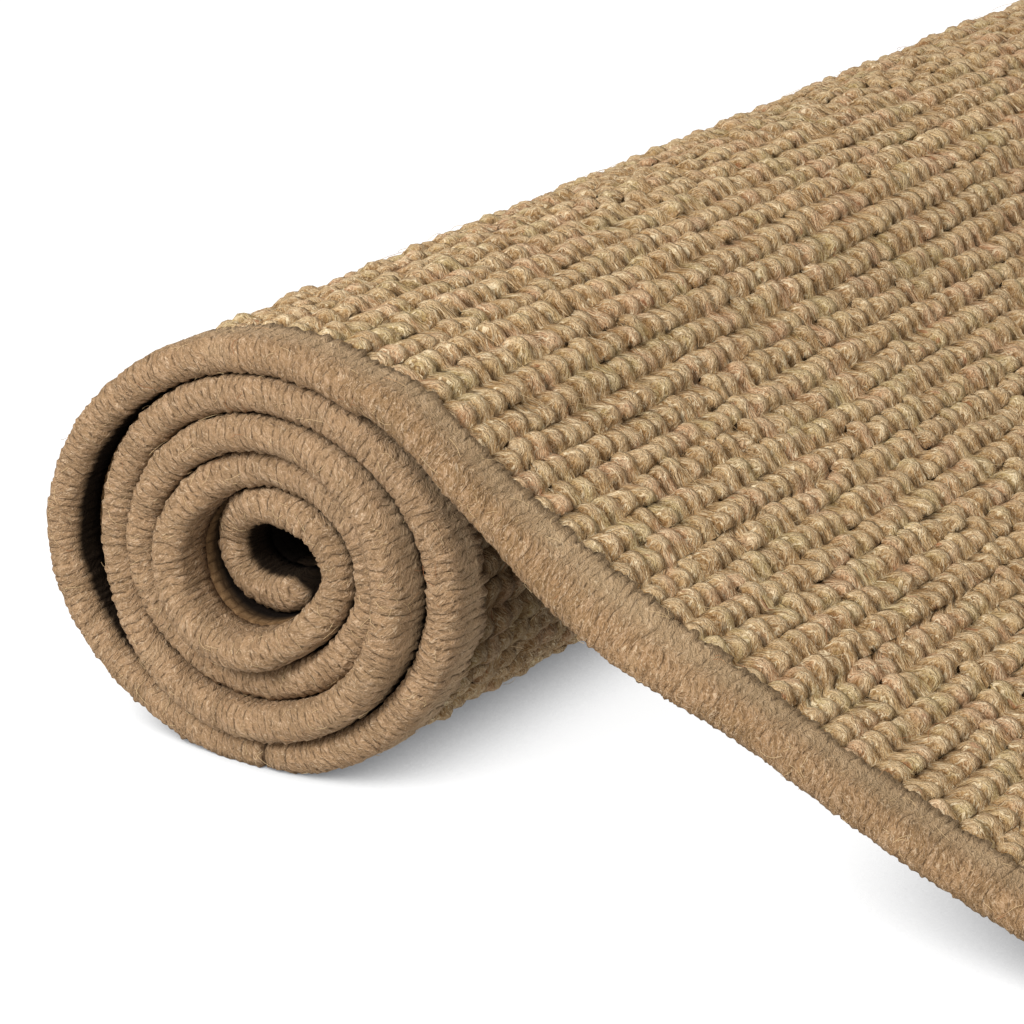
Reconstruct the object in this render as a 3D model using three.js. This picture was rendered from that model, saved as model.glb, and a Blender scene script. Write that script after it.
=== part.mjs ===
// A jute runner, wound up from one end, with its loose end running down from the roll onto the floor.
// Millimetres, +Z up. X runs along the runner, Y across it, and the floor is at Z = 0.
// The origin is on the floor, under the middle of the whole piece.

import * as THREE from "three";

// Sizes of the runner laid flat
const runnerLength = 1800;
const runnerWidth = 600;
const clothThickness = 8.8;
const ribCount = 236;
const ribHeight = 2.6;
const edgeWidth = 13;
const pieceGap = 0.3;

// Sizes of the roll, measured to the middle of the cloth
const hubHeight = 49.5;
const crownRadius = 54.8;
const turnSpacing = 9.8;
const woundDegrees = 1660;

// The roll has sagged: it is wider along a leaning line, and less so near its hub.
const sag = { amount: 3.6, lean: 20, lossPerTurn: 0.6 };

// The outermost turn stands off the one inside it between these two windings.
const looseTurn = { from: 20, to: 170, standOff: 5.6 };

// How far the cloth is pushed sideways in each turn of the roll, from the outermost turn inwards
const sideShift = [
  { top: 0, left: 0.6, bottom: 0.4, right: 3.5 },
  { top: 0.3, left: 2.3, bottom: -3.5, right: -4 },
  { top: -0.5, left: -0.6, bottom: 0.6, right: 4.1 },
  { top: 3.2, left: -3.9, bottom: -7, right: 4.6 },
  { top: 2.6, left: 8.4, bottom: 9.7, right: 9.7 },
];

// The loose end on its way down: reach out from the hub, and height of the cloth's middle
const slope = [
  { reach: 35, height: 96.4 },
  { reach: 46, height: 90.4 },
  { reach: 62, height: 78.4 },
  { reach: 88, height: 63.8 },
  { reach: 120, height: 48.6 },
  { reach: 157, height: 32.2 },
  { reach: 192, height: 19.2 },
  { reach: 225, height: 9.8 },
  { reach: 258, height: 5.2 },
];
const floorReach = 290;

// Fineness of the faceted shapes
const windingStep = 9;
const slopeStep = 12;
const pathSamples = { windingStep: 1, slopePoints: 400 };
const tinyLength = 1e-6;
const ribShape = [
  { along: 0, depth: ribHeight },
  { along: 0.3, depth: 0 },
  { along: 0.7, depth: 0 },
];

const halfThickness = clothThickness / 2;
const radians = THREE.MathUtils.degToRad;

// The roll is drawn by its support distance: how far its skin lies from the hub, for each facing
// direction. Turns drawn this way stay parallel, whatever the roll's outline.
function supportDistance(winding) {
  const turns = winding / 360;
  const facing = radians(winding + 90);
  const oval = sag.amount - sag.lossPerTurn * turns;
  const across = (winding - looseTurn.from) / (looseTurn.to - looseTurn.from);
  const standOff = looseTurn.standOff * Math.sin(Math.PI * THREE.MathUtils.clamp(across, 0, 1)) ** 2;
  return crownRadius - turnSpacing * turns + oval * Math.cos(2 * (facing - radians(sag.lean))) + standOff;
}

// Middle of the cloth in the roll. The winding is 0 at the crown and grows inwards.
function rollPoint(winding) {
  const facing = radians(winding + 90);
  const distance = supportDistance(winding);
  const drift = (supportDistance(winding + 0.5) - supportDistance(winding - 0.5)) / radians(1);
  return new THREE.Vector2(
    distance * Math.cos(facing) - drift * Math.sin(facing),
    hubHeight + distance * Math.sin(facing) + drift * Math.cos(facing),
  );
}

// Middle of the cloth from the floor up to the crown
function slopePoints() {
  const knots = [-21, -14, -7, 0].map(rollPoint);
  for (const row of slope) knots.unshift(new THREE.Vector2(row.reach, row.height));
  knots.unshift(new THREE.Vector2(floorReach, halfThickness));
  const curve = new THREE.SplineCurve(knots);
  return curve.getSpacedPoints(pathSamples.slopePoints);
}

// The whole path of the cloth's middle, from the loose end on the floor to the end at the hub
function buildPath() {
  const points = slopePoints();
  const windings = points.map(() => 0);
  for (let winding = pathSamples.windingStep; winding <= woundDegrees; winding += pathSamples.windingStep) {
    points.push(rollPoint(winding));
    windings.push(winding);
  }
  const curvedLength = points.reduce((sum, point, k) => (k ? sum + point.distanceTo(points[k - 1]) : 0), 0);
  points.unshift(new THREE.Vector2(floorReach + runnerLength - curvedLength, halfThickness));
  windings.unshift(0);
  const lengths = [0];
  for (let k = 1; k < points.length; k++) {
    lengths.push(lengths[k - 1] + points[k].distanceTo(points[k - 1]));
  }
  const normals = points.map((_, k) => {
    const before = points[Math.max(k - 1, 0)];
    const after = points[Math.min(k + 1, points.length - 1)];
    const travel = after.clone().sub(before).normalize();
    return new THREE.Vector2(travel.y, -travel.x);
  });
  normals[1] = normals[0].clone();
  return { points, windings, lengths, normals };
}

const path = buildPath();

// Place on the path at a length from the loose end: middle of the cloth, its face's direction, winding
function placeAt(length) {
  const found = path.lengths.findIndex((reached) => reached >= length - tinyLength);
  const after = Math.max(found, 1);
  const before = after - 1;
  const share = (length - path.lengths[before]) / (path.lengths[after] - path.lengths[before]);
  return {
    middle: path.points[before].clone().lerp(path.points[after], share),
    normal: path.normals[before].clone().lerp(path.normals[after], share).normalize(),
    winding: THREE.MathUtils.lerp(path.windings[before], path.windings[after], share),
  };
}

// Sideways push at a winding, eased from one quarter turn to the next
function shiftAt(winding) {
  const quarters = sideShift.flatMap((turn) => [turn.top, turn.left, turn.bottom, turn.right]);
  const quarter = Math.floor(winding / 90);
  const share = THREE.MathUtils.smoothstep(winding / 90 - quarter, 0, 1);
  return THREE.MathUtils.lerp(quarters[quarter], quarters[quarter + 1], share);
}

// Point on the cloth: length from the loose end, distance across from the middle, height off the middle
// of the cloth. Nothing sinks under the floor, which leaves the roll a flat spot.
function clothPoint(length, across, height) {
  const place = placeAt(length);
  const spot = place.middle.addScaledVector(place.normal, height);
  return new THREE.Vector3(spot.x, across + shiftAt(place.winding), Math.max(spot.y, 0));
}

// Lengths at which the long edges get a section: few on the flat, the same windings in every turn
function edgeStations() {
  const stations = [0];
  const slopeEnd = path.lengths[path.windings.findIndex((winding) => winding > 0) - 1];
  const slopeStart = path.lengths[1];
  const steps = Math.round((slopeEnd - slopeStart) / slopeStep);
  for (let k = 0; k <= steps; k++) stations.push(slopeStart + ((slopeEnd - slopeStart) * k) / steps);
  for (let winding = windingStep; winding < woundDegrees; winding += windingStep) {
    stations.push(path.lengths[path.windings.indexOf(winding)]);
  }
  stations.push(runnerLength);
  return stations;
}

// Closed solid through rings of points, one ring for each section, capped by the outline's triangles
function solidThroughRings(rings, outline) {
  const count = outline.length;
  const positions = rings.flat().flatMap((point) => point.toArray());
  const indices = [];
  for (let ring = 0; ring + 1 < rings.length; ring++) {
    for (let k = 0; k < count; k++) {
      const a = ring * count + k;
      const b = ring * count + ((k + 1) % count);
      indices.push(a, b, b + count, a, b + count, a + count);
    }
  }
  const last = (rings.length - 1) * count;
  for (const [a, b, c] of THREE.ShapeUtils.triangulateShape(outline, [])) {
    indices.push(a, c, b, last + a, last + b, last + c);
  }
  if (signedVolume(positions, indices) < 0) indices.reverse();
  const geometry = new THREE.BufferGeometry();
  geometry.setAttribute("position", new THREE.Float32BufferAttribute(positions, 3));
  geometry.setIndex(indices);
  geometry.computeVertexNormals();
  return geometry;
}

function signedVolume(positions, indices) {
  const corners = [0, 1, 2].map(() => new THREE.Vector3());
  let volume = 0;
  for (let k = 0; k < indices.length; k += 3) {
    corners.forEach((corner, c) => corner.fromArray(positions, 3 * indices[k + c]));
    volume += corners[0].dot(corners[1].clone().cross(corners[2])) / 6;
  }
  return volume;
}

// Woven body: ribs run across the runner on the face, and the back is plain.
function wovenBody() {
  const start = edgeWidth + pieceGap;
  const ribPitch = (runnerLength - 2 * start) / ribCount;
  const side = runnerWidth / 2 - start;
  const outline = [
    new THREE.Vector2(-side, -halfThickness),
    new THREE.Vector2(side, -halfThickness),
    new THREE.Vector2(side, halfThickness),
    new THREE.Vector2(-side, halfThickness),
  ];
  const section = (length, depth) =>
    outline.map((corner) => clothPoint(length, corner.x, corner.y > 0 ? corner.y - depth : corner.y));
  const rings = [];
  for (let rib = 0; rib < ribCount; rib++) {
    for (const row of ribShape) rings.push(section(start + (rib + row.along) * ribPitch, row.depth));
  }
  rings.push(section(runnerLength - start, ribHeight));
  return solidThroughRings(rings, outline);
}

// Outline of an overcast edge: rounded on the outside, flat where it meets the woven body. x is the
// distance in from the runner's rim, and y the height off the middle of the cloth.
function edgeOutline(innerSteps, roundSteps) {
  const outline = [];
  const straight = edgeWidth - halfThickness;
  for (let k = 0; k < innerSteps; k++) {
    outline.push(new THREE.Vector2(edgeWidth - (straight * k) / innerSteps, halfThickness));
  }
  for (let k = 0; k <= roundSteps; k++) {
    const turn = Math.PI * (0.5 + k / roundSteps);
    outline.push(new THREE.Vector2(halfThickness * (1 + Math.cos(turn)), halfThickness * Math.sin(turn)));
  }
  for (let k = innerSteps - 1; k >= 0; k--) {
    outline.push(new THREE.Vector2(edgeWidth - (straight * k) / innerSteps, -halfThickness));
  }
  return outline;
}

// Overcast long edge. The side is -1 for the edge at -Y and 1 for the one at +Y.
function longEdge(side) {
  const outline = edgeOutline(1, 5);
  const rings = edgeStations().map((length) =>
    outline.map((corner) => clothPoint(length, side * (runnerWidth / 2 - corner.x), corner.y)),
  );
  return solidThroughRings(rings, outline);
}

// Overcast short edge, between the long ones. lengthAt turns a distance in from the rim into a length.
function shortEdge(lengthAt) {
  const outline = edgeOutline(4, 6);
  const side = runnerWidth / 2 - edgeWidth - pieceGap;
  const rings = [-side, side].map((across) =>
    outline.map((corner) => clothPoint(lengthAt(corner.x), across, corner.y)),
  );
  return solidThroughRings(rings, outline);
}

const ribbedJute = new THREE.MeshStandardMaterial({ color: 0xb39c70, roughness: 0.95, metalness: 0 });
const edgeYarn = new THREE.MeshStandardMaterial({ color: 0xb08e6c, roughness: 0.95, metalness: 0 });

function piece(name, geometry, material) {
  const mesh = new THREE.Mesh(geometry, material);
  mesh.name = name;
  return mesh;
}

const runner = new THREE.Group();
runner.add(
  piece("woven_body", wovenBody(), ribbedJute),
  piece("near_edge", longEdge(-1), edgeYarn),
  piece("far_edge", longEdge(1), edgeYarn),
  piece("loose_end_edge", shortEdge((distance) => distance), edgeYarn),
  piece("inner_end_edge", shortEdge((distance) => runnerLength - distance), edgeYarn),
);

const box = new THREE.Box3().setFromObject(runner);
const middle = box.getCenter(new THREE.Vector3());
runner.position.set(-middle.x, -middle.y, 0);

export default runner;
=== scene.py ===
# A jute runner, wound up from one end, with its loose end running down from the roll onto the floor.
import math

import bmesh
import bpy
import numpy as np
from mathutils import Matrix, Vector


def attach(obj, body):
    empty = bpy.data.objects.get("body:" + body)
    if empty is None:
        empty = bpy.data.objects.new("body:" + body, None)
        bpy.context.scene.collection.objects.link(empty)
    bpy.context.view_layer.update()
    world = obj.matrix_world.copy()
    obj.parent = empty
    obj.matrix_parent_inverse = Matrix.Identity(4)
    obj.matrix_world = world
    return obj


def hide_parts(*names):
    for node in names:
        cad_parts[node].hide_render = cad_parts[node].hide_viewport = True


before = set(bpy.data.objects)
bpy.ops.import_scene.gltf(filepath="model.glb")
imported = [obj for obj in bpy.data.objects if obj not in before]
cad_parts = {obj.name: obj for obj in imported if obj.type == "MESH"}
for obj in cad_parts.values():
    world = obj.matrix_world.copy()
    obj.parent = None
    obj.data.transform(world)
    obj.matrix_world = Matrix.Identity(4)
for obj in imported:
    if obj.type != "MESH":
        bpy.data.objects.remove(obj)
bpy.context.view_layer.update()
mm = 0.001
chance = np.random.default_rng(7)
mostSpreads = 2

# camera, floor and light

view = {
    "place": (0.13140, -0.94285, 0.37783),
    "azimuth": 34.82,
    "elevation": 20.85,
    "focalPixels": 3851,
    "imagePixels": 1024,
    "sensor": 36.0,
    "clip": (0.05, 50),
}

studio = {
    "skyStrength": 0.77,
    "skyColour": (1.0, 0.965, 0.91, 1),
    "floorSize": 14.0,
    "floorHeight": -0.2 * mm,
    "floorTone": 0.09,
    "glowOpen": (0.98, 0.98, 0.98, 1),
    "glowShaded": (0.1, 0.105, 0.115, 1),
    "shadeReach": 52 * mm,  # the floor is shaded where the runner is nearer than this
    "shadeSamples": 12,
    "shadeRamp": (0.0, 0.5),  # openness at which the floor glows least and most
    "keyPlace": (-0.75, -1.85, 1.25),
    "keySize": 0.9,
    "keyPower": 38,
    "fillPlace": (-0.02, -1.6, 1.45),
    "fillSize": 1.6,
    "fillPower": 30,
    "target": (-0.15, -0.1, 0.03),
}


def addCamera():
    data = bpy.data.cameras.new("photo_camera")
    data.sensor_width = view["sensor"]
    data.lens = view["focalPixels"] * view["sensor"] / view["imagePixels"]
    data.clip_start, data.clip_end = view["clip"]
    camera = bpy.data.objects.new("photo_camera", data)
    azimuth, elevation = math.radians(view["azimuth"]), math.radians(view["elevation"])
    back = Vector((
        math.sin(azimuth) * math.cos(elevation),
        -math.cos(azimuth) * math.cos(elevation),
        math.sin(elevation),
    ))
    camera.location = view["place"]
    camera.rotation_euler = (-back).to_track_quat("-Z", "Y").to_euler()
    bpy.context.scene.collection.objects.link(camera)
    bpy.context.scene.camera = camera


def addSoftLight(name, place, size, power):
    data = bpy.data.lights.new(name, "AREA")
    data.shape = "DISK"
    data.size = size
    data.energy = power
    light = bpy.data.objects.new(name, data)
    light.location = place
    aim = Vector(studio["target"]) - Vector(place)
    light.rotation_euler = aim.to_track_quat("-Z", "Y").to_euler()
    bpy.context.scene.collection.objects.link(light)


def addStudio():
    addSoftLight("key_light", studio["keyPlace"], studio["keySize"], studio["keyPower"])
    addSoftLight("fill_light", studio["fillPlace"], studio["fillSize"], studio["fillPower"])
    world = bpy.data.worlds.new("studio_sky")
    world.use_nodes = True
    sky = world.node_tree.nodes["Background"]
    sky.inputs["Color"].default_value = studio["skyColour"]
    sky.inputs["Strength"].default_value = studio["skyStrength"]
    bpy.context.scene.world = world
    bpy.context.scene.view_settings.view_transform = "Standard"
    sheetOfPaper = bmesh.new()
    bmesh.ops.create_grid(sheetOfPaper, x_segments=1, y_segments=1, size=studio["floorSize"] / 2)
    bmesh.ops.translate(sheetOfPaper, vec=(0, 0, studio["floorHeight"]), verts=sheetOfPaper.verts)
    floor = meshObject("floor", sheetOfPaper)
    paint = Graph("floor_paper", roughness=0.9)
    tone = studio["floorTone"]
    paint.surface.inputs["Base Color"].default_value = (tone, tone, tone, 1)
    # the floor glows, and a painted shadow darkens its glow where the runner is near
    nearness = paint.node("ShaderNodeAmbientOcclusion", {"samples": studio["shadeSamples"]}, {
        "Distance": studio["shadeReach"]})
    openness = paint.eased(nearness.outputs["AO"], *studio["shadeRamp"])
    glow = paint.mix(openness, studio["glowShaded"], studio["glowOpen"])
    paint.feed(paint.surface.inputs["Emission Color"], glow)
    paint.surface.inputs["Emission Strength"].default_value = 1
    floor.data.materials.append(paint.material)


# shader helpers

dullShine = 0.08  # dry yarn hardly mirrors anything


def srgb(red, green, blue):
    # a colour as it is read off a screen, 0 to 255, as the linear colour that sockets take
    parts = [(part / 255) / 12.92 if part <= 10 else ((part / 255 + 0.055) / 1.055) ** 2.4
             for part in (red, green, blue)]
    return (*parts, 1)


class Reading:  # a number that changes over a surface: Python's operators add Math nodes to it
    def __init__(self, graph, socket):
        self.graph, self.socket = graph, socket

    def __add__(self, other):
        return self.graph.maths("ADD", self, other)

    __radd__ = __add__

    def __sub__(self, other):
        return self.graph.maths("SUBTRACT", self, other)

    def __rsub__(self, other):
        return self.graph.maths("SUBTRACT", other, self)

    def __mul__(self, other):
        return self.graph.maths("MULTIPLY", self, other)

    __rmul__ = __mul__


class Graph:  # the nodes of one material
    def __init__(self, name, roughness):
        self.material = bpy.data.materials.new(name)
        self.material.use_nodes = True
        self.tree = self.material.node_tree
        self.surface = self.tree.nodes["Principled BSDF"]
        self.surface.inputs["Roughness"].default_value = roughness
        self.surface.inputs["Specular IOR Level"].default_value = dullShine

    def feed(self, socket, value):
        if isinstance(value, Reading):
            value = value.socket
        if isinstance(value, bpy.types.NodeSocket):
            self.tree.links.new(value, socket)
        else:
            socket.default_value = value

    def node(self, kind, settings, sockets):
        made = self.tree.nodes.new(kind)
        for key, setting in settings.items():
            if key == "stops":
                ramp = made.color_ramp
                while len(ramp.elements) < len(setting):
                    ramp.elements.new(1)
                for stop, (position, colour) in zip(ramp.elements, setting):
                    stop.position, stop.color = position, colour
            else:
                setattr(made, key, setting)
        for key, value in sockets.items():
            self.feed(made.inputs[key], value)
        return made

    def maths(self, operation, *terms):
        made = self.node("ShaderNodeMath", {"operation": operation}, dict(enumerate(terms)))
        return Reading(self, made.outputs[0])

    def mix(self, share, first, second):
        made = self.node("ShaderNodeMix", {"data_type": "RGBA"}, {0: share, 6: first, 7: second})
        return made.outputs[2]

    def flatPlace(self, mapName):  # the two readings of a UV map
        uv = self.node("ShaderNodeUVMap", {"uv_map": mapName}, {})
        parts = self.node("ShaderNodeSeparateXYZ", {}, {0: uv.outputs[0]})
        return Reading(self, parts.outputs[0]), Reading(self, parts.outputs[1])

    def joined(self, x, y, z):
        return self.node("ShaderNodeCombineXYZ", {}, {0: x, 1: y, 2: z}).outputs[0]

    def noise(self, place, scale=1, detail=2, roughness=0.5):
        made = self.node("ShaderNodeTexNoise", {}, {
            "Vector": place, "Scale": scale, "Detail": detail, "Roughness": roughness})
        return Reading(self, made.outputs[0])

    def grain(self, x, y, z=0, **fineness):  # noise at a place given by its three parts
        return self.noise(self.joined(x, y, z), **fineness)

    def dice(self, x, y, z):  # one random number for each whole place
        place = self.joined(x, y, z)
        made = self.node("ShaderNodeTexWhiteNoise", {"noise_dimensions": "3D"}, {"Vector": place})
        return Reading(self, made.outputs[0])

    def eased(self, value, low, high):
        made = self.node("ShaderNodeMapRange", {"interpolation_type": "SMOOTHSTEP"}, {
            0: value, 1: low, 2: high, 3: 0.0, 4: 1.0})
        return Reading(self, made.outputs[0])

    def middleLines(self, field, width):  # 1 on the thin lines where a noise has its middle value
        return 1 - self.eased(self.maths("ABSOLUTE", field - 0.5), 0.3 * width, width)

    def ramp(self, value, stops):
        return self.node("ShaderNodeValToRGB", {"stops": stops}, {0: value}).outputs[0]

    def streaked(self, yarn, field, colours, name):
        # dark streaks where a noise is low and pale ones where it is high
        for tone, (start, full, share) in zip(("strandDark", "strandPale"), colours[name]):
            yarn = self.mix(self.eased(field, start, full) * share, yarn, colours[tone])
        return yarn

    def bumped(self, height, distance):
        made = self.node("ShaderNodeBump", {}, {"Height": height, "Distance": distance, "Strength": 1.0})
        self.feed(self.surface.inputs["Normal"], made.outputs[0])


def bellDraws(draw, size):  # numbers spread round 0, with none further off than mostSpreads
    return draw.standard_normal(size).clip(-mostSpreads, mostSpreads)


def meshObject(name, shape):
    mesh = bpy.data.meshes.new(name)
    shape.to_mesh(mesh)
    shape.free()
    mesh.shade_smooth()
    made = bpy.data.objects.new(name, mesh)
    bpy.context.scene.collection.objects.link(made)
    return made


def readVertices(mesh):
    places = np.empty(3 * len(mesh.vertices))
    mesh.vertices.foreach_get("co", places)
    return places.reshape(-1, 3)


def placeVertices(mesh, places):
    mesh.vertices.foreach_set("co", places.astype(np.float32).ravel())
    mesh.update()


def gridSteps(flat, steps):  # a grid's own coordinate, -1 to 1, as the number of the step it lies on
    return np.rint((flat + 1) / 2 * steps).astype(int)


def addFlatMap(mesh, name, across, along):  # keeps two numbers of each vertex as a UV map
    corners = np.empty(len(mesh.loops), dtype=np.int64)
    mesh.loops.foreach_get("vertex_index", corners)
    flat = np.stack([across[corners], along[corners]], axis=1)
    mesh.uv_layers.new(name=name).data.foreach_set("uv", flat.astype(np.float32).ravel())


# the runner's path, the same as the solids', in metres

runner = {
    "length": 1.8,
    "width": 0.6,
    "thickness": 8.8 * mm,
    "edgeWidth": 13 * mm,
    "gap": 0.3 * mm,
    "ribs": 236,
    "ribHeight": 2.6 * mm,
    "hubPlace": (-387.79 * mm, -1.35 * mm),
}

roll = {
    "hubHeight": 49.5 * mm,
    "crownRadius": 54.8 * mm,
    "turnSpacing": 9.8 * mm,
    "wound": 1660,  # degrees, from the crown inwards
    "sag": 3.6 * mm,
    "sagLean": 20,
    "sagLossPerTurn": 0.6 * mm,
    "looseFrom": 20,  # between these windings the outermost turn stands off the next one
    "looseTo": 170,
    "standOff": 5.6 * mm,
    "crownKnots": [-21, -14, -7, 0],  # windings at which the slope's line runs into the roll
    "stepsPerKnot": 40,
}

# sideways push at the top, left, bottom and right of each turn, from the outermost inwards
sideShift = mm * np.array([
    [0, 0.6, 0.4, 3.5],
    [0.3, 2.3, -3.5, -4],
    [-0.5, -0.6, 0.6, 4.1],
    [3.2, -3.9, -7, 4.6],
    [2.6, 8.4, 9.7, 9.7],
]).ravel()

# reach out from the hub and height of the cloth's middle on the way down
slope = mm * np.array([
    [290, 4.4], [258, 5.2], [225, 9.8], [192, 19.2], [157, 32.2],
    [120, 48.6], [88, 63.8], [62, 78.4], [46, 90.4], [35, 96.4],
])


def standOffAt(winding):
    across = np.clip((winding - roll["looseFrom"]) / (roll["looseTo"] - roll["looseFrom"]), 0, 1)
    return roll["standOff"] * np.sin(np.pi * across) ** 2


def supportDistance(winding):  # how far the cloth's middle lies from the hub, for each facing direction
    facing = np.radians(winding + 90)
    oval = roll["sag"] - roll["sagLossPerTurn"] * winding / 360
    reach = roll["crownRadius"] - roll["turnSpacing"] * winding / 360
    return reach + oval * np.cos(2 * (facing - math.radians(roll["sagLean"]))) + standOffAt(winding)


def rollPoint(winding):
    winding = np.asarray(winding, float)
    facing = np.radians(winding + 90)
    distance = supportDistance(winding)
    drift = (supportDistance(winding + 0.5) - supportDistance(winding - 0.5)) / math.radians(1)
    return np.stack([
        distance * np.cos(facing) - drift * np.sin(facing),
        roll["hubHeight"] + distance * np.sin(facing) + drift * np.cos(facing),
    ], axis=-1)


def throughKnots(knots, steps):  # a smooth line through the knots
    padded = np.vstack([knots[:1], knots, knots[-1:]])
    share = (np.arange(steps) / steps)[:, None]
    spans = []
    for before, start, end, after in zip(padded, padded[1:], padded[2:], padded[3:]):
        leave, arrive = (end - before) / 2, (after - start) / 2
        spans.append((2 * start - 2 * end + leave + arrive) * share ** 3
                     + (3 * end - 3 * start - 2 * leave - arrive) * share ** 2 + leave * share + start)
    return np.vstack([*spans, knots[-1:]])


def buildPath():
    down = throughKnots(np.vstack([slope, rollPoint(roll["crownKnots"])]), roll["stepsPerKnot"])
    windings = np.arange(1.0, roll["wound"] + 1)
    curved = np.vstack([down, rollPoint(windings)])
    curvedLength = np.linalg.norm(np.diff(curved, axis=0), axis=1).sum()
    floorEnd = [slope[0, 0] + runner["length"] - curvedLength, slope[0, 1]]
    points = np.vstack([floorEnd, curved])
    lengths = np.concatenate([[0], np.cumsum(np.linalg.norm(np.diff(points, axis=0), axis=1))])
    travel = np.gradient(points, axis=0)
    travel[1] = travel[0]
    travel /= np.linalg.norm(travel, axis=1)[:, None]
    normals = np.stack([travel[:, 1], -travel[:, 0]], axis=1)
    return points, normals, lengths, np.concatenate([np.zeros(len(down) + 1), windings])


pathPoints, pathNormals, pathLengths, pathWindings = buildPath()


def shiftAt(winding):
    quarter = np.floor(winding / 90).astype(int)
    share = winding / 90 - quarter
    share = share * share * (3 - 2 * share)
    return sideShift[quarter] * (1 - share) + sideShift[quarter + 1] * share


def lengthAtWinding(winding):
    inRoll = pathWindings > 0
    return float(np.interp(winding, pathWindings[inRoll], pathLengths[inRoll]))


def clothPoints(length, across, height):
    # length from the loose end, distance across from the middle, height off the middle of the cloth
    spot = [np.interp(length, pathLengths, pathPoints[:, k])
            + height * np.interp(length, pathLengths, pathNormals[:, k]) for k in (0, 1)]
    shift = shiftAt(np.interp(length, pathLengths, pathWindings))
    hubX, middleY = runner["hubPlace"]
    return np.stack([spot[0] + hubX, across + shift + middleY, np.maximum(spot[1], 0)], axis=1)


halfThickness = runner["thickness"] / 2
halfWidth = runner["width"] / 2
bodyStart = runner["edgeWidth"] + runner["gap"]
bodySide = halfWidth - bodyStart
ribPitch = (runner["length"] - 2 * bodyStart) / runner["ribs"]
crownLength = lengthAtWinding(1)  # where the cloth leaves the roll

# the ground cloth that carries the loops

ground = {
    "top": 1.7 * mm,  # over the middle of the cloth
    "inset": 12.2 * mm,  # in from the runner's rim, so that its own rim lies inside the overcast edges
    "flatStations": 40,
    "slopeStations": 60,
    "windingStep": 6,
    "acrossSteps": 24,
    "leastStep": 1 * mm,
    "sortBy": (1, 97, 9973),
    "backThread": 3.2,  # millimetres
    "shades": (0.32, 0.65, 0.3, -0.12),  # shares of weave, strands and patches in the shade, and offset
    "colours": [(0.0, srgb(62, 45, 27)), (0.55, srgb(102, 77, 51)), (1.0, srgb(136, 108, 77))],
    "paintedShade": srgb(12, 7, 4),  # painted shade inside the roll
    "darkens": (900, 1150),  # between these windings, painted shade darkens the back away from the rim
    "hiddenFrom": (290.5, 282.5),  # millimetres off the middle: there the painted shade starts and is full
    "allDark": (1290, 1300),  # from here on painted shade darkens the whole back
    "bump": 0.5 * mm,
}


def groundStations():  # few on the flat, close together in the roll
    first, last = ground["inset"], runner["length"] - ground["inset"]
    flatEnd = pathLengths[1]
    flat = np.linspace(first, flatEnd, ground["flatStations"])
    down = np.linspace(flatEnd, crownLength, ground["slopeStations"])[1:]
    step = ground["windingStep"]
    wound = [lengthAtWinding(winding) for winding in range(step, roll["wound"], step)]
    stations = np.concatenate([flat, down, wound])
    return np.append(stations[stations < last - ground["leastStep"]], last)


def sortFaces(shape):  # solidify orders the faces of the rim anew in each run
    shape.faces.sort(key=lambda face: face.calc_center_median().dot(Vector(ground["sortBy"])))


def addGroundCloth():
    stations = groundStations()
    shape = bmesh.new()
    bmesh.ops.create_grid(shape, x_segments=len(stations) - 1, y_segments=ground["acrossSteps"], size=1)
    bmesh.ops.solidify(shape, geom=list(shape.faces), thickness=0.5)
    bmesh.ops.recalc_face_normals(shape, faces=shape.faces)
    sortFaces(shape)
    cloth = meshObject("ground_cloth", shape)
    flat = readVertices(cloth.data)
    length = stations[gridSteps(flat[:, 0], len(stations) - 1)]
    across = flat[:, 1] * (halfWidth - ground["inset"])
    upper = flat[:, 2] > flat[:, 2].mean()
    placeVertices(cloth.data, clothPoints(length, across, np.where(upper, ground["top"], -halfThickness)))
    outward = bmesh.new()
    outward.from_mesh(cloth.data)
    bmesh.ops.recalc_face_normals(outward, faces=outward.faces)
    outward.to_mesh(cloth.data)
    outward.free()
    addFlatMap(cloth.data, "flat", across / mm, length / mm)
    return cloth


def paintGroundCloth(cloth):
    paint = Graph("jute_back", roughness=0.95)
    across, along = paint.flatPlace("flat")
    rows, columns = across * (1 / ground["backThread"]), along * (1 / ground["backThread"])
    over = paint.maths("FLOORED_MODULO", paint.maths("FLOOR", rows) + paint.maths("FLOOR", columns), 2)
    rowRise = paint.maths("ABSOLUTE", paint.maths("SINE", rows * math.pi))
    columnRise = paint.maths("ABSOLUTE", paint.maths("SINE", columns * math.pi))
    weave = over * rowRise + (1 - over) * columnRise
    strands = paint.grain(rows * 5, columns * 5, detail=3)
    patches = paint.grain(across, along, scale=0.022, detail=3)
    ofWeave, ofStrands, ofPatches, offset = ground["shades"]
    shade = weave * ofWeave + strands * ofStrands + patches * ofPatches + offset

    def furtherIn(windings):  # goes from 0 to 1 between two windings
        return paint.eased(along, *(lengthAtWinding(winding) / mm for winding in windings))

    # painted shade: inside the roll the back is painted dark, first away from the rim and then all over
    offRim = paint.eased(paint.maths("ABSOLUTE", across), *ground["hiddenFrom"])
    dark = paint.maths("MAXIMUM", furtherIn(ground["darkens"]) * offRim, furtherIn(ground["allDark"]))
    back = paint.mix(dark, paint.ramp(shade, ground["colours"]), ground["paintedShade"])
    paint.feed(paint.surface.inputs["Base Color"], back)
    paint.bumped(weave + strands * 0.5, ground["bump"])
    cloth.data.materials.append(paint.material)


# the looped ribs on the face

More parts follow.
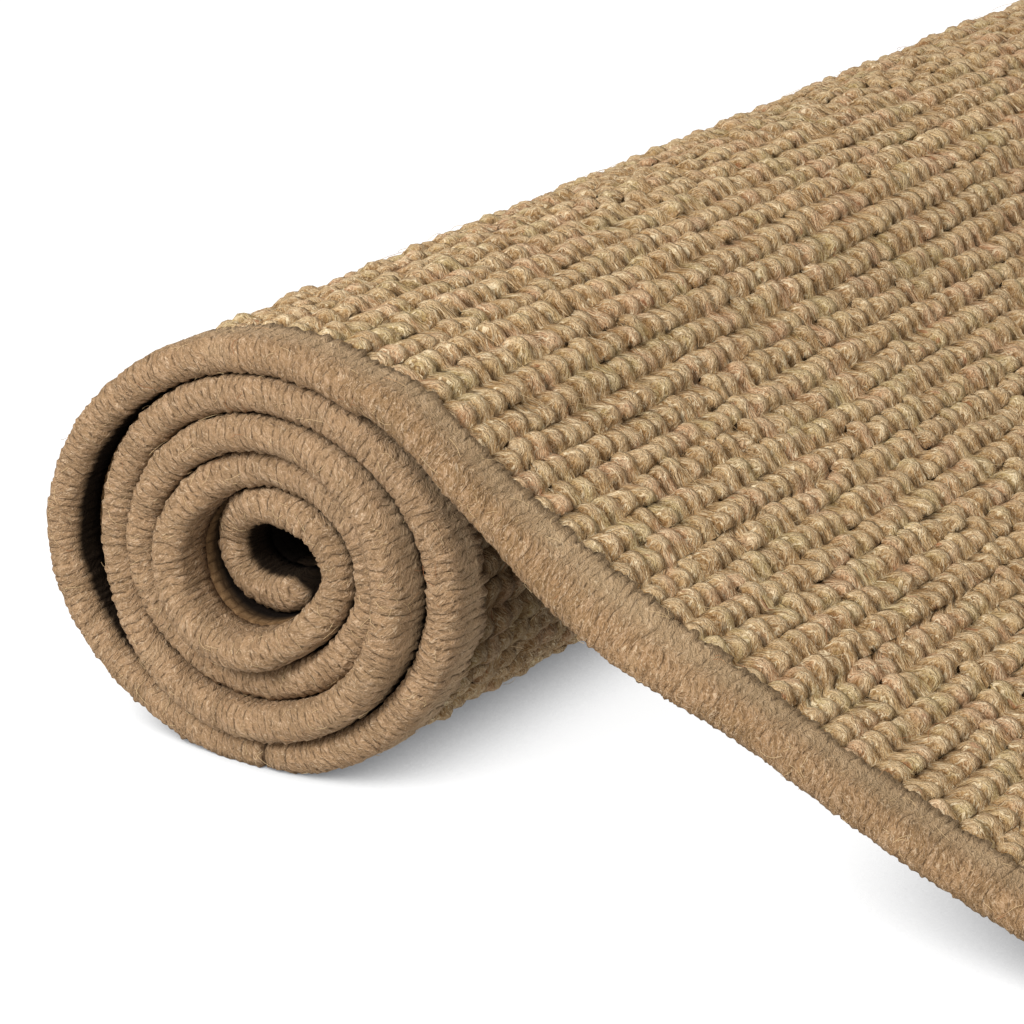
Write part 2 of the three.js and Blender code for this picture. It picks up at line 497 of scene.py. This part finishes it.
loops = {
    "pitch": 5.5 * mm,  # along a rib
    "height": 2.9 * mm,  # over the ground cloth
    "groove": 0.74,  # depth of the groove between two loops at the crest, as a share of the height
    "pit": 0.6,  # the same in the valley between two ribs
    "depthSpread": 0.1,
    "bow": 1.4 * mm,  # how far a loop's middle is pushed away from the near edge
    "drift": (-0.1, 0.06, 0.05),  # from one rib's loops to the next one's, in loops: mean, slow swing, chance
    "swingRibs": 17,  # for one radian of the slow swing
    "wander": 0.35 * mm,
    "heightSpread": 0.19,
    "leanSpread": 0.14,  # in ribs
    "leansAbove": 0.6,  # share of the height
    "wave": 0.5 * mm,  # a rib's own waviness, and its turn from loop to loop
    "waveTurn": 0.21,
    "taper": 4.5 * mm,  # this near to the overcast edges the ribs are rounded off
    "taperTo": 0.1,  # share of the height that is left at the rib's very end
    "tuck": 1.0 * mm,  # how far the ribs' ends reach into the overcast edges
    "shownTo": 350,  # winding: further in, no loop can be seen
    "pieces": 4,
    "seed": 1000,
    # a rib in profile, starting from the valley on the loose end's side: share of the rib, of the height
    "profile": np.array([[0.02, 0.36], [0.2, 0.66], [0.42, 0.95], [0.66, 1.0], [0.88, 0.72]]),
    # a loop from side to side: share of the pitch, how much of the groove's depth is gone
    "section": np.array([[0, 0], [0.2, 0.74], [0.52, 1], [0.84, 0.78]]),
    "hiddenColumns": 12,  # faces along a plain rib inside the roll
    "hiddenDrop": 0.2 * mm,  # how much lower it is than the solids' ribs
}

# the streaks give, of the dark ones and of the pale ones, the noise at which they start and are full,
# and their share
loopColours = {
    "yarns": [(0.0, srgb(125, 96, 60)), (0.3, srgb(148, 118, 79)), (0.55, srgb(159, 129, 89)),
              (0.8, srgb(167, 140, 98)), (1.0, srgb(179, 152, 113))],
    "strandDark": srgb(95, 64, 33),
    "strandPale": srgb(197, 177, 146),
    "rosy": srgb(173, 132, 102),
    "olive": srgb(155, 140, 95),
    "hair": srgb(217, 201, 169),
    "rust": srgb(129, 76, 47),
    # painted shade, in the pits beside the loops' feet and under the roll
    "pit": srgb(45, 29, 13),
    "strands": ((0.48, 0.35, 0.55), (0.53, 0.66, 0.4)),
    "fuzz": ((0.46, 0.34, 0.5), (0.54, 0.66, 0.45)),
    "hairs": ((0.46, 0.34, 0.4), (0.54, 0.66, 0.33)),
    "specks": ((0.46, 0.34, 0.5), (0.54, 0.66, 0.38)),
    "tintShare": 0.6,
    "hairWidth": 0.025,
    "hairShare": 0.6,
    "rustShare": 0.6,
    # shares of the painted highlight on the crown and of the painted shade at the foot
    "crownShare": 0.22,
    "footShare": 0.12,
    # painted shade under the roll and beside it, between these windings
    "shadedBetween": (198, 272),
    "shadedShare": 0.74,
    "bump": 0.8 * mm,
}


def driftedOffsets():  # of each rib's loops along the rib, in loops
    mean, swing, jump = loops["drift"]
    ribNumbers = np.arange(runner["ribs"] + 1)
    slow = swing * np.sin(ribNumbers / loops["swingRibs"])
    steps = mean + slow + chance.uniform(-jump, jump, len(ribNumbers))
    return np.cumsum(steps) % 1 - 0.5


loopOffsets = driftedOffsets()


def addLoopedRibs(name, firstRib, lastRib):
    ribCount = lastRib - firstRib
    loopCount = round(2 * bodySide / loops["pitch"]) + 1
    profile, section = loops["profile"], loops["section"]
    rows, columns = len(profile), len(section)
    shape = bmesh.new()
    bmesh.ops.create_grid(shape, x_segments=loopCount * columns, y_segments=ribCount * rows, size=1)
    ribs = meshObject(name, shape)
    flat = readVertices(ribs.data)
    column = gridSteps(flat[:, 0], loopCount * columns)
    row = gridSteps(flat[:, 1], ribCount * rows)
    rib, loop = row // rows, column // columns
    along, rise = profile[row % rows].T
    sideways, fullness = section[column % columns].T

    # every loop is a little different. The first rib of a piece meets the last one of the piece before
    loopChance = [np.random.default_rng(loops["seed"] + firstRib + k) for k in range(ribCount + 1)]
    own = np.array([bellDraws(draw, (4, loopCount + 1)) for draw in loopChance])
    tall = 1 + loops["heightSpread"] * own[:, 0]
    pushed = loops["wander"] * own[:, 1]
    leaning = loops["leanSpread"] * own[:, 2]
    sunken = loops["depthSpread"] * own[:, 3]
    waves = loops["wave"] * np.sin(rib + firstRib + loop * loops["waveTurn"])

    # a loop bows away from the near edge, and its groove is deepest in the valley between two ribs
    pitch = 2 * bodySide / (loopCount - 1)
    arch = 4 * along * (1 - along)
    across = -bodySide + (loop + sideways + loopOffsets[firstRib + rib] - 0.5) * pitch
    across += pushed[rib, loop] + loops["bow"] * (arch - 0.5)
    tuckedSide = bodySide + loops["tuck"]
    across = across.clip(-tuckedSide, tuckedSide)
    lean = leaning[rib, loop] * (rise > loops["leansAbove"])
    length = bodyStart + (firstRib + rib + along + lean) * ribPitch + waves
    length = length.clip(bodyStart - loops["tuck"], runner["length"] - bodyStart + loops["tuck"])
    depth = loops["groove"] + (loops["pit"] - loops["groove"]) * (1 - arch) + sunken[rib, loop]
    height = loops["height"] * rise * (1 - depth * (1 - fullness)) * tall[rib, loop]
    fromRim = ((tuckedSide - np.abs(across)) / loops["taper"]).clip(0, 1)
    height *= loops["taperTo"] + (1 - loops["taperTo"]) * np.sqrt(1 - (1 - fromRim) ** 2)
    placeVertices(ribs.data, clothPoints(length, across, ground["top"] + height))
    addFlatMap(ribs.data, "loops", loop + sideways, firstRib + rib + along)
    return ribs


def addHiddenRibs(name, firstRib, lastRib):  # inside the roll, where no loop can be seen
    profile = loops["profile"]
    ribCount, rows = lastRib - firstRib, len(profile)
    shape = bmesh.new()
    bmesh.ops.create_grid(shape, x_segments=loops["hiddenColumns"], y_segments=ribCount * rows, size=1)
    ribs = meshObject(name, shape)
    flat = readVertices(ribs.data)
    row = gridSteps(flat[:, 1], ribCount * rows)
    along, rise = profile[row % rows].T
    length = bodyStart + (firstRib + row // rows + along) * ribPitch
    height = ground["top"] + (runner["ribHeight"] - loops["hiddenDrop"]) * rise
    placeVertices(ribs.data, clothPoints(length, flat[:, 0] * bodySide, height))
    addFlatMap(ribs.data, "loops", flat[:, 0] * bodySide / loops["pitch"], firstRib + row / rows)
    return ribs


def paintLoops():
    paint = Graph("ribbed_jute", roughness=0.92)
    colours = loopColours
    acrossLoops, alongRibs = paint.flatPlace("loops")
    loopNumber, ribNumber = paint.maths("FLOOR", acrossLoops), paint.maths("FLOOR", alongRibs)
    side, up = acrossLoops - loopNumber, alongRibs - ribNumber
    own = paint.dice(loopNumber, ribNumber, 1.0)
    other = paint.dice(loopNumber, ribNumber, 2.0)

    # strands run over each loop in an arc, and wander
    wander = paint.grain(side * 2.4, up * 3, own * 50) - 0.5
    offCrest = up - 0.55
    twisted = side + up * (other * 0.9 - 0.3) + offCrest * offCrest * 0.9 + wander * 0.6
    strands = paint.grain(twisted * 6.5, up * 1.1, own * 60, roughness=0.6)
    hairs = paint.grain(twisted * 20, up * 5, own * 90)
    singles = paint.grain(twisted * 4, up * 1.3, own * 30, detail=1)

    # and there is finer stuff that keeps to no strand
    specks = paint.grain(acrossLoops * 13, alongRibs * 17, own * 9, roughness=0.6)
    fuzz = paint.grain(acrossLoops * 7, alongRibs * 9, own * 4, detail=3, roughness=0.7)
    patches = paint.grain(acrossLoops * 0.13, alongRibs * 0.2, detail=3)
    tints = paint.grain(acrossLoops * 0.55, alongRibs * 0.6, 5.0)
    flecks = paint.grain(acrossLoops * 2.3, alongRibs * 1.7, 9.0, detail=1)

    yarn = paint.ramp(own * 0.42 + patches * 0.85 - 0.16, colours["yarns"])
    yarn = paint.mix(paint.eased(tints, 0.53, 0.66) * colours["tintShare"], yarn, colours["rosy"])
    yarn = paint.mix(paint.eased(tints, 0.47, 0.34) * colours["tintShare"], yarn, colours["olive"])
    yarn = paint.streaked(yarn, strands, colours, "strands")
    yarn = paint.streaked(yarn, fuzz, colours, "fuzz")
    yarn = paint.streaked(yarn, hairs, colours, "hairs")
    yarn = paint.streaked(yarn, specks, colours, "specks")
    lone = paint.middleLines(singles, colours["hairWidth"]) * paint.eased(hairs, 0.4, 0.5)
    yarn = paint.mix(lone * colours["hairShare"], yarn, colours["hair"])
    yarn = paint.mix(paint.eased(flecks, 0.69, 0.76) * colours["rustShare"], yarn, colours["rust"])

    # painted highlight and painted shade: a loop is painted palest on its crown and darker towards its foot
    # and along the groove at its side, with a dark pit painted beside the foot
    offMiddle = side - 0.5
    crown = paint.eased(offMiddle * offMiddle + offCrest * offCrest, 0.16, 0.02)
    yarn = paint.mix(crown * colours["crownShare"], yarn, colours["strandPale"])
    foot = paint.maths("MAXIMUM", paint.eased(up, 0.42, 0.08), paint.eased(up, 0.86, 0.98))
    yarn = paint.mix(foot * colours["footShare"], yarn, colours["strandDark"])
    yarn = paint.mix(paint.eased(side, 0.22, 0.03) * (0.4 - crown * 0.2), yarn, colours["strandDark"])
    pits = paint.eased(side + (fuzz - 0.5) * 0.5, 0.4, 0.16) * foot * (other * 0.85 - 0.05)
    yarn = paint.mix(pits, yarn, colours["pit"])
    # painted shade on the ribs under the roll and beside it
    shadedRibs = [(lengthAtWinding(winding) - bodyStart) / ribPitch for winding in colours["shadedBetween"]]
    yarn = paint.mix(paint.eased(alongRibs, *shadedRibs) * colours["shadedShare"], yarn, colours["pit"])
    paint.feed(paint.surface.inputs["Base Color"], yarn)
    paint.bumped(strands + hairs * 0.5 + fuzz * 0.7 + specks * 0.5, colours["bump"])
    return paint.material


# the overcast edges

whipping = {
    "pitch": 2.2 * mm,  # along the edge, one turn of the yarn
    "relief": (0.42 * mm, 0.56 * mm),  # on the loose end, in the roll
    "reliefFrom": 60 * mm,  # before the crown, and the winding at which it has changed over
    "reliefTo": 40,
    "ridge": 0.7,  # under 1, the yarn is round and its grooves are narrow
    "thickness": (0.45, 1.3),  # of one turn of the yarn, as a share of the relief
    "swell": (-0.9, 1.4),  # millimetres that one turn reaches further in over the ribs
    "backSwell": 0.3,  # share of it on the back
    "backDip": 0.6 * mm,  # the inner end of the back dips into the cloth
    "rough": 0.1 * mm,
    "lumps": 0.22 * mm,
    "lumpFineness": (4.1, 3.3),  # along the edge and round it
    "squareness": 0.35,
    "roundSteps": 7,
    "droop": 5.0 * mm,
    "droopSpan": (-150 * mm, -56 * mm),  # from the crown
    "wobble": 0.4,  # in turns of the yarn
    "sunk": 0.3 * mm,  # how far the bottom of the groove lies under the solid's skin
    "slant": 0.9,  # turns of the yarn from one side of the edge to the other
    "stations": 4,  # for each turn
    "endRounding": 5 * mm,
    "endHeight": 0.25,  # shares of the height and the width that are left at the very end
    "endWidth": 0.5,
    "joinAt": 187,  # winding at which the near edge's yarn begins and ends, with a slit between
    "joinWidth": 0.7 * mm,
    "joinDepth": 1.1 * mm,
    "weld": 0.001 * mm,
}

edgeCover = {  # where the turn beside it covers an edge, painted shade darkens the yarn
    "from": 4.0 * mm,  # in from the rim, where both turns stand out equally far
    "least": 3.0 * mm,  # the same inside the last turn, which is in the dark
    "further": 8.4 * mm,  # at most so much further in, where the edge stands out
    "never": 40 * mm,  # more than the edge is wide
    "outerTurn": 352,  # winding up to which nothing lies on the face
    "tailTo": 70 * mm,  # this far from the crown, the loose end still lies on the roll
    "blend": 1.4,  # millimetres
}

edgeColours = {
    "yarns": [(0.0, srgb(102, 77, 50)), (0.3, srgb(119, 94, 65)), (0.55, srgb(131, 103, 73)),
              (0.8, srgb(140, 115, 85)), (1.0, srgb(153, 129, 97))],
    "strandDark": srgb(65, 45, 25),
    "strandPale": srgb(173, 147, 121),
    "hair": srgb(202, 181, 153),
    "faceSide": srgb(160, 140, 111),
    # painted shade between the turns of the roll
    "between": srgb(18, 11, 6),
    # painted shade in the grooves between the yarn's turns and in the slit at the join
    "groove": srgb(39, 24, 12),
    "strands": ((0.49, 0.37, 0.42), (0.53, 0.66, 0.3)),
    "hairs": ((0.46, 0.33, 0.3), (0.54, 0.68, 0.3)),
    "specks": ((0.46, 0.34, 0.3), (0.54, 0.66, 0.3)),
    "hairWidth": 0.02,
    "hairShare": 0.33,
    "faceShare": 0.4,
    "faceReach": (12, 4),  # millimetres round the outline, from the face's inner end
    "rollShare": 0.14,  # painted light: paler in the roll
    "grooveShare": (0.6, 0.7),  # painted shade in the grooves, on the loose end, in the roll
    "betweenShare": 0.96,
    "joinShare": 0.9,
    "bump": 0.8 * mm,
}


def edgeOutline():
    # distance in from the rim, height off the middle, and the way outwards, all round the edge
    steps = [(runner["edgeWidth"], halfThickness, 0.2, 1), (10.2 * mm, halfThickness, 0, 1),
             (7.2 * mm, halfThickness, 0, 1)]
    for turn in np.linspace(90, 270, whipping["roundSteps"]):
        x, z = math.cos(math.radians(turn)), math.sin(math.radians(turn))
        full = max(abs(x), abs(z)) ** -whipping["squareness"]
        steps.append((halfThickness * (1 + x * full), halfThickness * z * full, x, z))
    steps += [(8.5 * mm, -halfThickness, 0, -1),
              (runner["edgeWidth"], whipping["backDip"] - halfThickness, 0.1, -0.4)]
    return np.array(steps)


# from the first to the second of these lengths, the loose end's looks change into the roll's
tightFrom, tightTo = crownLength - whipping["reliefFrom"], lengthAtWinding(whipping["reliefTo"])


def droopAt(run):  # the near rim hangs a little where the cloth leaves the roll
    first, last = (crownLength + place for place in whipping["droopSpan"])
    share = ((run - first) / (last - first)).clip(0, 1)
    return whipping["droop"] * np.sin(np.pi * share) ** 2


def coveredFrom(run, side, step):
    # how far in from the rim the edge is covered by the turn one step further in (1) or further out (-1)
    winding = np.interp(run, pathLengths, pathWindings)
    other = winding + 360 * step
    standsOut = side * (shiftAt(winding) - shiftAt(other.clip(0, roll["wound"])))
    covered = edgeCover["from"] + (standsOut - standOffAt(winding)).clip(0, edgeCover["further"])
    if step < 0:
        return np.where(winding < edgeCover["outerTurn"], edgeCover["never"], covered)
    covered = np.where(other > roll["wound"], edgeCover["least"], covered)
    onFloor = run < crownLength - edgeCover["tailTo"]
    return np.where(onFloor, edgeCover["never"], covered)


def wavy(run, reach):  # a smooth unevenness between -1 and 1, for millimetres along and round the edge
    first = np.sin(run * 0.53 + 1.9 * np.sin(reach * 0.31) + 1.3 * np.sin(run * 0.071))
    second = np.sin(run * 0.217 - reach * 0.44 + 2.1 * np.sin(run * 0.113 + reach * 0.2))
    return 0.5 * (first + second)


def addEdge(name, span, placing):
    # span is the edge's length. placing turns distances along it and in from the rim into length and
    # distance across
    outline = edgeOutline()
    turns = round(span / whipping["pitch"])
    stations = turns * whipping["stations"]
    nearEdge, longEdge = name == "near_binding", span > runner["width"]
    shape = bmesh.new()
    bmesh.ops.create_grid(shape, x_segments=stations, y_segments=len(outline), size=1)
    edge = meshObject(name, shape)
    flat = readVertices(edge.data)
    station = gridSteps(flat[:, 0], stations)
    around = gridSteps(flat[:, 1], len(outline)) % len(outline)
    inwards, height, outX, outZ = outline[around].T
    reach = np.concatenate([[0], np.cumsum(np.hypot(*np.diff(outline[:, :2], axis=0).T))])[around]

    # the yarn goes round and round, so its ridges lie across the edge, wavy and broken here and there
    run = span * station / stations
    wobble = whipping["wobble"] * wavy(run / mm, reach / mm)
    phase = station / whipping["stations"] + whipping["slant"] * reach / reach.max() + wobble
    spareTurns = 4  # for the slant and the wobble
    turn = np.floor(phase).astype(int).clip(0, turns + spareTurns - 1)
    thick = chance.uniform(*whipping["thickness"], turns + spareTurns)[turn]
    ridge = np.sin(np.pi * (phase % 1)) ** whipping["ridge"] * thick
    rough = whipping["rough"] * bellDraws(chance, (stations + 1, len(outline)))
    swell = chance.uniform(*whipping["swell"], turns + spareTurns)[turn] * mm
    swell = swell * np.where(outZ > 0, 1, whipping["backSwell"])
    inRoll = ((run - tightFrom) / (tightTo - tightFrom)).clip(0, 1) * longEdge
    relief = whipping["relief"][0] + (whipping["relief"][1] - whipping["relief"][0]) * inRoll
    push = relief * ridge - whipping["sunk"] + rough[station, around]
    alongLumps, roundLumps = whipping["lumpFineness"]
    push += whipping["lumps"] * wavy(run / mm * alongLumps + 7, reach / mm * roundLumps)
    join = np.exp(-((run - lengthAtWinding(whipping["joinAt"])) / whipping["joinWidth"]) ** 2) * nearEdge
    push -= whipping["joinDepth"] * join
    innerEnd = inwards >= runner["edgeWidth"]
    inwards = inwards + push * outX + np.where(innerEnd, swell, 0)
    height = height + push * outZ
    if nearEdge:
        height -= droopAt(run) * (1 - inwards / runner["edgeWidth"]).clip(0, 1)
    if longEdge:  # its two ends are rounded off
        fromEnd = np.minimum(run, span - run) / whipping["endRounding"]
        full = np.sqrt(1 - (1 - fromEnd.clip(0, 1)) ** 2)
        height = height * (whipping["endHeight"] + (1 - whipping["endHeight"]) * full)
        width = whipping["endWidth"] + (1 - whipping["endWidth"]) * full
        inwards = runner["edgeWidth"] + (inwards - runner["edgeWidth"]) * width
    length, across = placing(run, inwards)
    placeVertices(edge.data, clothPoints(length, across, height))
    addFlatMap(edge.data, "whipping", phase, reach / mm)
    side = -1 if nearEdge else 1
    covers = np.where(outZ > 0, coveredFrom(length, side, -1), coveredFrom(length, side, 1))
    addFlatMap(edge.data, "cover", (inwards - covers) / mm, join)
    closed = bmesh.new()
    closed.from_mesh(edge.data)
    bmesh.ops.remove_doubles(closed, verts=closed.verts, dist=whipping["weld"])
    bmesh.ops.holes_fill(closed, edges=[rim for rim in closed.edges if rim.is_boundary], sides=0)
    bmesh.ops.recalc_face_normals(closed, faces=closed.faces)
    closed.to_mesh(edge.data)
    closed.free()
    return edge


def paintEdges():
    paint = Graph("edge_yarn", roughness=0.92)
    colours = edgeColours
    turns, reach = paint.flatPlace("whipping")
    number = paint.maths("FLOOR", turns)
    side = turns - number
    own = paint.dice(number, 3.0, 1.0)

    # the yarn's strands are twisted, so they lie aslant to its turns, and they wander
    wander = paint.grain(turns * 0.5, reach * 0.24) - 0.5
    aslant = turns + reach * 0.16 + wander * 1.2
    strands = paint.grain(aslant * 2.3, reach * 0.32, own * 1.5, roughness=0.6)
    hairs = paint.grain(aslant * 8 - reach * 0.9, reach * 1.0, own * 3)
    singles = paint.grain(aslant * 1.7 + reach * 0.1, reach * 0.35, 7.0, detail=1)
    breaks = paint.grain(turns * 1.1, reach * 0.55, 4.0)
    patches = paint.grain(turns * 0.09, reach * 0.12, detail=3)
    specks = paint.grain(turns * 5, reach * 2.4, 2.0, roughness=0.6)

    yarn = paint.ramp(own * 0.2 + patches * 0.95 - 0.1, colours["yarns"])
    yarn = paint.streaked(yarn, strands, colours, "strands")
    yarn = paint.streaked(yarn, hairs, colours, "hairs")
    yarn = paint.streaked(yarn, specks, colours, "specks")
    lone = paint.middleLines(singles, colours["hairWidth"]) * paint.eased(hairs, 0.4, 0.5)
    yarn = paint.mix(lone * colours["hairShare"], yarn, colours["hair"])
    # painted sheen: the face side of the edge, which faces up, is painted paler and greyer
    onFace = paint.eased(reach, *colours["faceReach"])
    yarn = paint.mix(onFace * colours["faceShare"], yarn, colours["faceSide"])

    # in the roll, painted light makes the yarn paler, and the painted shade in the grooves between its turns
    # is stronger
    tight = paint.eased(turns, tightFrom / whipping["pitch"], tightTo / whipping["pitch"])
    yarn = paint.mix(tight * colours["rollShare"], yarn, colours["strandPale"])
    groove = paint.eased(side * (1 - side) * 4, 0.55, 0.0)
    unbroken = paint.eased(breaks + tight * 0.03, 0.43, 0.62)
    looseShare, rollShare = colours["grooveShare"]
    grooveShare = looseShare + tight * (rollShare - looseShare)
    yarn = paint.mix(groove * unbroken * grooveShare, yarn, colours["groove"])

    # painted shade: between the turns of the roll the yarn is painted dark, past the line where the turn
    # beside it covers the edge
    past, join = paint.flatPlace("cover")
    between = paint.eased(past + wander * 2, -edgeCover["blend"], edgeCover["blend"])
    yarn = paint.mix(between * colours["betweenShare"], yarn, colours["between"])
    # painted shade in the slit where the near edge's yarn begins and ends
    yarn = paint.mix(join * colours["joinShare"], yarn, colours["groove"])
    paint.feed(paint.surface.inputs["Base Color"], yarn)
    paint.bumped(strands + hairs * 0.5 + breaks * 0.3 + specks * 0.4, colours["bump"])
    return paint.material


# stray fibres

fibres = {
    "face": 1900,  # how many lie on the ribs, on the face of the long edges, and round their rims
    "edge": 400,
    "rim": 700,
    "radius": 0.05 * mm,
    "points": 4,
    "span": (3 * mm, 13 * mm),
    "edgeSpan": 0.5,  # share of that on the edges
    "curl": 1.6,
    "lift": (0.1 * mm, 1.3 * mm),
    "arc": (0.15, 0.75),  # the part of a half wave that a fibre follows
    "sunk": 0.1 * mm,
    "fromEnds": 20 * mm,
    "fromShown": 40,  # windings before the last loops that show
    "faceSide": 285 * mm,  # distances across from the middle
    "edgeBand": (288.5 * mm, 296 * mm),
    "atMost": 299 * mm,
    "rimBand": 3,  # millimetres up and down from the middle of the cloth
    "rimAtMost": 3.8 * mm,
    "rimLift": 0.7,
    "colour": srgb(178, 154, 117),
    "rust": srgb(137, 91, 59),
}


def fibrePlaces(kind):
    share = np.linspace(0, 1, fibres["points"])
    span = chance.uniform(*fibres["span"]) * (1 if kind == "face" else fibres["edgeSpan"])
    turned = chance.uniform(0, 2 * math.pi) + chance.uniform(-fibres["curl"], fibres["curl"]) * share
    step = span / (fibres["points"] - 1)
    goneAlong, goneAcross = np.cumsum(np.cos(turned)) * step, np.cumsum(np.sin(turned)) * step
    arcStart, arcEnd = fibres["arc"]
    arc = np.sin(np.pi * (arcStart + (arcEnd - arcStart) * share))
    lift = chance.uniform(*fibres["lift"]) * arc - fibres["sunk"]
    side = chance.choice([-1, 1])
    first, last = fibres["fromEnds"], runner["length"] - fibres["fromEnds"]
    if kind == "rim":
        length = chance.uniform(first, last) + goneAlong
        height = chance.uniform(-fibres["rimBand"], fibres["rimBand"]) * mm + goneAcross
        height = height.clip(-fibres["rimAtMost"], fibres["rimAtMost"])
        roundedOff = halfThickness - np.sqrt(halfThickness ** 2 - height ** 2)
        if side < 0:
            height = height - droopAt(length)
        return clothPoints(length, side * (halfWidth - roundedOff + lift * fibres["rimLift"]), height)
    if kind == "face":
        last = lengthAtWinding(loops["shownTo"] - fibres["fromShown"])
    length = chance.uniform(first, last) + goneAlong
    if kind == "face":
        middle = chance.uniform(-fibres["faceSide"], fibres["faceSide"])
    else:
        middle = side * chance.uniform(*fibres["edgeBand"])
    across = (middle + goneAcross).clip(-fibres["atMost"], fibres["atMost"])
    return clothPoints(length, across, halfThickness + lift)


def addFibres(name):
    lines = bpy.data.curves.new(name, "CURVE")
    lines.dimensions = "3D"
    lines.bevel_depth = fibres["radius"]
    lines.bevel_resolution = 0
    for kind in ("face", "edge", "rim"):
        for _ in range(fibres[kind]):
            places = fibrePlaces(kind)
            spline = lines.splines.new("POLY")
            spline.points.add(len(places) - 1)
            spline.points.foreach_set("co", np.column_stack([places, np.ones(len(places))]).ravel())
    holder = bpy.data.objects.new(name, lines)
    bpy.context.scene.collection.objects.link(holder)
    bpy.context.view_layer.update()
    mesh = bpy.data.meshes.new_from_object(holder.evaluated_get(bpy.context.evaluated_depsgraph_get()))
    bpy.data.objects.remove(holder)
    mesh.name = name
    made = bpy.data.objects.new(name, mesh)
    bpy.context.scene.collection.objects.link(made)
    return made


def paintFibres():
    paint = Graph("fibre", roughness=0.8)
    place = paint.node("ShaderNodeTexCoord", {}, {}).outputs["Object"]
    tone = paint.noise(place, scale=60, detail=1)
    colour = paint.mix(paint.eased(tone, 0.55, 0.68), fibres["colour"], fibres["rust"])
    paint.feed(paint.surface.inputs["Base Color"], colour)
    return paint.material


def finishPiece(piece, material, slotName, *nodes):
    piece.data.materials.clear()
    piece.data.materials.append(material)
    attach(piece, "root")
    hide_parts(*nodes)


def faceCount(pieces):
    return sum(len(piece.data.polygons) for piece in pieces)


addCamera()
addStudio()
print("camera, floor and light: done")

cloth = addGroundCloth()
paintGroundCloth(cloth)
print("ground cloth: done,", faceCount([cloth]), "faces")

shownRibs = int((lengthAtWinding(loops["shownTo"]) - bodyStart) / ribPitch)
cuts = np.linspace(0, shownRibs, loops["pieces"] + 1).astype(int)
ribPieces = [addLoopedRibs(f"looped_ribs_{k + 1}", cuts[k], cuts[k + 1]) for k in range(loops["pieces"])]
ribPieces.append(addHiddenRibs("inner_ribs", shownRibs, runner["ribs"]))
print("looped ribs: done,", faceCount(ribPieces), "faces")

longPieces = [
    addEdge("near_binding", runner["length"], lambda run, inwards: (run, inwards - halfWidth)),
    addEdge("far_binding", runner["length"], lambda run, inwards: (run, halfWidth - inwards)),
]
shortPieces = [
    addEdge("loose_end_binding", 2 * bodySide, lambda run, inwards: (inwards, run - bodySide)),
    addEdge("inner_end_binding", 2 * bodySide,
            lambda run, inwards: (runner["length"] - inwards, run - bodySide)),
]
print("overcast edges: done,", faceCount(longPieces + shortPieces), "faces")

strays = addFibres("stray_fibres")
print("stray fibres: done,", faceCount([strays]), "faces")

dressing = [cloth, *ribPieces, *longPieces, *shortPieces, strays]
print("triangles in all:", sum(len(side.vertices) - 2 for piece in dressing for side in piece.data.polygons))

loopPaint, edgePaint, fibrePaint = paintLoops(), paintEdges(), paintFibres()
finishPiece(cloth, cloth.data.materials[0], "ribbed_jute", "woven_body")
for piece in ribPieces:
    finishPiece(piece, loopPaint, "ribbed_jute", "woven_body")
edgeNodes = ["near_edge", "far_edge", "loose_end_edge", "inner_end_edge"]
for piece, node in zip(longPieces + shortPieces, edgeNodes):
    finishPiece(piece, edgePaint, "edge_yarn", node)
finishPiece(strays, fibrePaint, "ribbed_jute")
